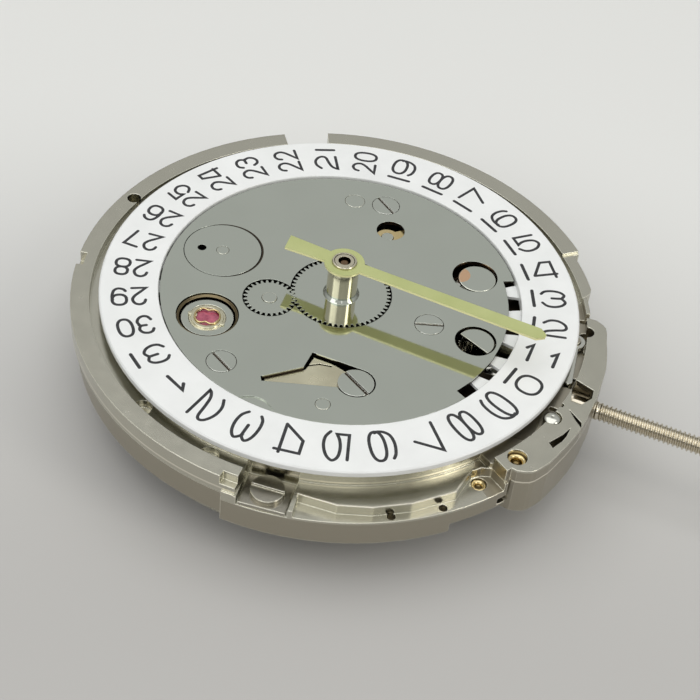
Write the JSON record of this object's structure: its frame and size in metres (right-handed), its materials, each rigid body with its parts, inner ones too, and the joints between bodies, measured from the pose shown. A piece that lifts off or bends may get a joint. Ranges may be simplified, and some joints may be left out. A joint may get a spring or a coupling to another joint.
{
  "type": "automatic watch movement",
  "caption": "Self-winding watch movement seen from the dial side: plate with date ring, calendar works, one hand, pull-out stem, going train, balance and rotor.",
  "frame": {"origin": "centre of the plate, level with the rim face that the dial spacer rests on", "axes": "+X along the winding stem towards three o'clock, +Y towards twelve, +Z out of the dial side"},
  "size_m": [0.0364, 0.0261, 0.0076],
  "materials": {
    "plate_nickel": "fine matt nickel plating, bare edges brighter",
    "plate_steel": "polished steel with a faint grain",
    "ring_white": "satin white lacquer",
    "steel": "polished steel",
    "gilt": "polished pale gilt",
    "ruby": "clear synthetic ruby",
    "hand_gilt": "pale yellow green lacquer on brass",
    "rotor": "brushed nickel"
  },
  "bodies": {
    "movement": {"main_plate": "plate_nickel", "calendar_plate": "plate_steel", "calendar_screws": "steel", "date_jumper": "gilt", "setting_spring": "gilt", "setting_spring_screw": "steel", "dial_shock_setting": "gilt", "dial_shock_jewel": "ruby", "casing_clamp": "plate_nickel", "casing_clamp_screw": "steel", "click_spring": "steel", "pallet_cock": "plate_nickel", "train_jewels": "ruby", "train_bridge": "plate_nickel", "balance_cock": "plate_nickel", "back_shock_setting": "gilt", "stud_holder": "steel", "bridge_screws": "steel", "auto_bridge": "plate_nickel", "rotor_post": "steel"},
    "date_ring": {"date_ring": "ring_white"},
    "hour_hand": {"hour_wheel": "steel", "hand": "hand_gilt"},
    "cannon_pinion": {"cannon_pinion": "steel"},
    "minute_wheel": {"minute_wheel": "steel"},
    "date_idler": {"date_idler": "steel"},
    "date_wheel": {"date_driving_wheel": "plate_steel", "date_finger": "gilt"},
    "setting_wheel_a": {"setting_wheel_a": "steel"},
    "setting_wheel_b": {"setting_wheel_b": "steel"},
    "barrel": {"barrel_drum": "plate_nickel", "barrel_cover": "plate_nickel", "mainspring": "steel"},
    "centre_wheel": {"centre_wheel": "gilt"},
    "third_wheel": {"third_wheel": "gilt"},
    "fourth_wheel": {"fourth_wheel": "gilt"},
    "escape_wheel": {"escape_wheel": "gilt"},
    "pallet_fork": {"pallet_fork": "steel"},
    "balance": {"balance_wheel": "gilt", "balance_staff": "steel", "hairspring": "steel"},
    "regulator": {"regulator": "steel"},
    "click": {"click": "steel"},
    "ratchet": {"ratchet_wheel": "steel", "barrel_arbor": "steel"},
    "crown_idler": {"crown_idler": "steel"},
    "crown_wheel": {"crown_wheel": "steel"},
    "winding_pinion": {"winding_pinion": "steel"},
    "stem": {"stem": "steel"},
    "clutch_wheel": {"clutch_wheel": "steel"},
    "setting_lever": {"setting_lever": "steel"},
    "yoke": {"yoke": "steel"},
    "rotor": {"rotor_plate": "rotor", "rotor_weight": "rotor", "rotor_gear": "gilt"},
    "reverser_a": {"reverser_a": "gilt"},
    "reverser_b": {"reverser_b": "gilt"},
    "reverser_pinion_a": {"reverser_pinion_a": "steel"},
    "reverser_pinion_b": {"reverser_pinion_b": "steel"},
    "reduction_wheel": {"reduction_wheel": "gilt"}
  },
  "joints": [
    {"name": "date_ring_turn", "type": "hinge", "parent": "movement", "child": "date_ring", "pos_m": [0, 0, 0], "axis": [0, 0, 1], "continuous": true, "deforming": ["date_jumper"]},
    {"name": "hour_turn", "type": "hinge", "parent": "movement", "child": "hour_hand", "pos_m": [0, 0, 0], "axis": [0, 0, 1], "continuous": true},
    {"name": "cannon_turn", "type": "hinge", "parent": "movement", "child": "cannon_pinion", "pos_m": [0, 0, 0], "axis": [0, 0, 1], "continuous": true},
    {"name": "minute_wheel_turn", "type": "hinge", "parent": "movement", "child": "minute_wheel", "pos_m": [0.00138, 0.0026, 0], "axis": [0, 0, 1], "continuous": true},
    {"name": "date_idler_turn", "type": "hinge", "parent": "movement", "child": "date_idler", "pos_m": [-0.00295, -0.00194, 0], "axis": [0, 0, 1], "continuous": true},
    {"name": "date_wheel_turn", "type": "hinge", "parent": "movement", "child": "date_wheel", "pos_m": [-0.0064, 0.00013, 0], "axis": [0, 0, 1], "continuous": true, "deforming": ["date_finger"]},
    {"name": "setting_b_turn", "type": "hinge", "parent": "movement", "child": "setting_wheel_b", "pos_m": [0.00459, 0.00313, 0], "axis": [0, 0, 1], "continuous": true},
    {"name": "setting_a_turn", "type": "hinge", "parent": "movement", "child": "setting_wheel_a", "pos_m": [0.0059, 0.00135, 0], "axis": [0, 0, 1], "continuous": true},
    {"name": "third_turn", "type": "hinge", "parent": "movement", "child": "third_wheel", "pos_m": [-0.003, 0.0016, 0], "axis": [0, 0, 1], "continuous": true},
    {"name": "centre_turn", "type": "hinge", "parent": "movement", "child": "centre_wheel", "pos_m": [0, 0, 0], "axis": [0, 0, 1], "continuous": true},
    {"name": "barrel_turn", "type": "hinge", "parent": "movement", "child": "barrel", "pos_m": [0.00052, 0.00598, 0], "axis": [0, 0, 1], "continuous": true, "deforming": ["mainspring"]},
    {"name": "fourth_turn", "type": "hinge", "parent": "movement", "child": "fourth_wheel", "pos_m": [0, 0, 0], "axis": [0, 0, 1], "continuous": true},
    {"name": "escape_turn", "type": "hinge", "parent": "movement", "child": "escape_wheel", "pos_m": [0.00002, -0.00341, 0], "axis": [0, 0, 1], "continuous": true},
    {"name": "pallet_swing", "type": "hinge", "parent": "movement", "child": "pallet_fork", "pos_m": [-0.00194, -0.00378, 0], "axis": [0, 0, 1], "range_deg": [-4, 4]},
    {"name": "balance_swing", "type": "hinge", "parent": "movement", "child": "balance", "pos_m": [-0.00509, -0.00436, 0], "axis": [0, 0, 1], "range_deg": [-270, 270], "deforming": ["hairspring"]},
    {"name": "regulator_shift", "type": "hinge", "parent": "movement", "child": "regulator", "pos_m": [-0.00509, -0.00436, 0], "axis": [0, 0, 1], "range_deg": [-15, 15]},
    {"name": "click_lift", "type": "hinge", "parent": "movement", "child": "click", "pos_m": [0.0059, 0.008, 0], "axis": [0, 0, 1], "range_deg": [-8, 0]},
    {"name": "ratchet_turn", "type": "hinge", "parent": "movement", "child": "ratchet", "pos_m": [0.00052, 0.00598, 0], "axis": [0, 0, 1], "continuous": true},
    {"name": "crown_idler_turn", "type": "hinge", "parent": "movement", "child": "crown_idler", "pos_m": [0.00571, 0.00258, 0], "axis": [0, 0, 1], "continuous": true},
    {"name": "crown_wheel_turn", "type": "hinge", "parent": "movement", "child": "crown_wheel", "pos_m": [0.0085, 0, 0], "axis": [0, 0, 1], "continuous": true},
    {"name": "winding_turn", "type": "hinge", "parent": "movement", "child": "winding_pinion", "pos_m": [0, 0, -0.0017], "axis": [1, 0, 0], "continuous": true},
    {"name": "stem_pull", "type": "slide", "parent": "winding_pinion", "child": "stem", "axis": [1, 0, 0], "range_m": [0, 0.0009]},
    {"name": "clutch_slide", "type": "slide", "parent": "winding_pinion", "child": "clutch_wheel", "axis": [1, 0, 0], "range_m": [-0.00075, 0]},
    {"name": "lever_swing", "type": "hinge", "parent": "movement", "child": "setting_lever", "pos_m": [0.0113, 0.0026, 0], "axis": [0, 0, 1], "range_deg": [0, 19.7]},
    {"name": "yoke_swing", "type": "hinge", "parent": "movement", "child": "yoke", "pos_m": [0.0085, -0.0039, 0], "axis": [0, 0, 1], "range_deg": [0, 13.67]},
    {"name": "rotor_turn", "type": "hinge", "parent": "movement", "child": "rotor", "pos_m": [0, 0, 0], "axis": [0, 0, 1], "continuous": true},
    {"name": "reverser_a_turn", "type": "hinge", "parent": "movement", "child": "reverser_a", "pos_m": [-0.00314, 0.00079, 0], "axis": [0, 0, 1], "continuous": true},
    {"name": "reverser_b_turn", "type": "hinge", "parent": "movement", "child": "reverser_b", "pos_m": [-0.00583, 0.00182, 0], "axis": [0, 0, 1], "continuous": true},
    {"name": "reduction_turn", "type": "hinge", "parent": "movement", "child": "reduction_wheel", "pos_m": [-0.00372, 0.00333, 0], "axis": [0, 0, 1], "continuous": true},
    {"name": "reverser_pinion_a_turn", "type": "hinge", "parent": "movement", "child": "reverser_pinion_a", "pos_m": [-0.00314, 0.00079, 0], "axis": [0, 0, 1], "continuous": true},
    {"name": "reverser_pinion_b_turn", "type": "hinge", "parent": "movement", "child": "reverser_pinion_b", "pos_m": [-0.00583, 0.00182, 0], "axis": [0, 0, 1], "continuous": true}
  ],
  "couplings": [
    {"joint": "cannon_turn", "follows": "hour_turn", "ratio": 12},
    {"joint": "minute_wheel_turn", "follows": "hour_turn", "ratio": -4},
    {"joint": "date_idler_turn", "follows": "hour_turn", "ratio": -2},
    {"joint": "date_wheel_turn", "follows": "hour_turn", "ratio": 0.5},
    {"joint": "setting_b_turn", "follows": "hour_turn", "ratio": 8.4},
    {"joint": "setting_a_turn", "follows": "hour_turn", "ratio": -7.6364},
    {"joint": "centre_turn", "follows": "third_turn", "ratio": -0.13333},
    {"joint": "barrel_turn", "follows": "third_turn", "ratio": 0.019048},
    {"joint": "fourth_turn", "follows": "third_turn", "ratio": -8},
    {"joint": "escape_turn", "follows": "third_turn", "ratio": 96},
    {"joint": "crown_idler_turn", "follows": "ratchet_turn", "ratio": -2.4444},
    {"joint": "crown_wheel_turn", "follows": "ratchet_turn", "ratio": 2.2},
    {"joint": "winding_turn", "follows": "ratchet_turn", "ratio": 4.4},
    {"joint": "reduction_turn", "follows": "ratchet_turn", "ratio": -7.3333},
    {"joint": "reverser_pinion_a_turn", "follows": "ratchet_turn", "ratio": 19.905},
    {"joint": "reverser_pinion_b_turn", "follows": "ratchet_turn", "ratio": 19.905},
    {"joint": "reverser_a_turn", "follows": "rotor_turn", "ratio": -1.25},
    {"joint": "reverser_b_turn", "follows": "rotor_turn", "ratio": 1.25},
    {"joint": "clutch_slide", "follows": "stem_pull", "ratio": -0.83333},
    {"joint": "lever_swing", "follows": "stem_pull", "rad_per_m": 381.93},
    {"joint": "yoke_swing", "follows": "stem_pull", "rad_per_m": 265}
  ]
}
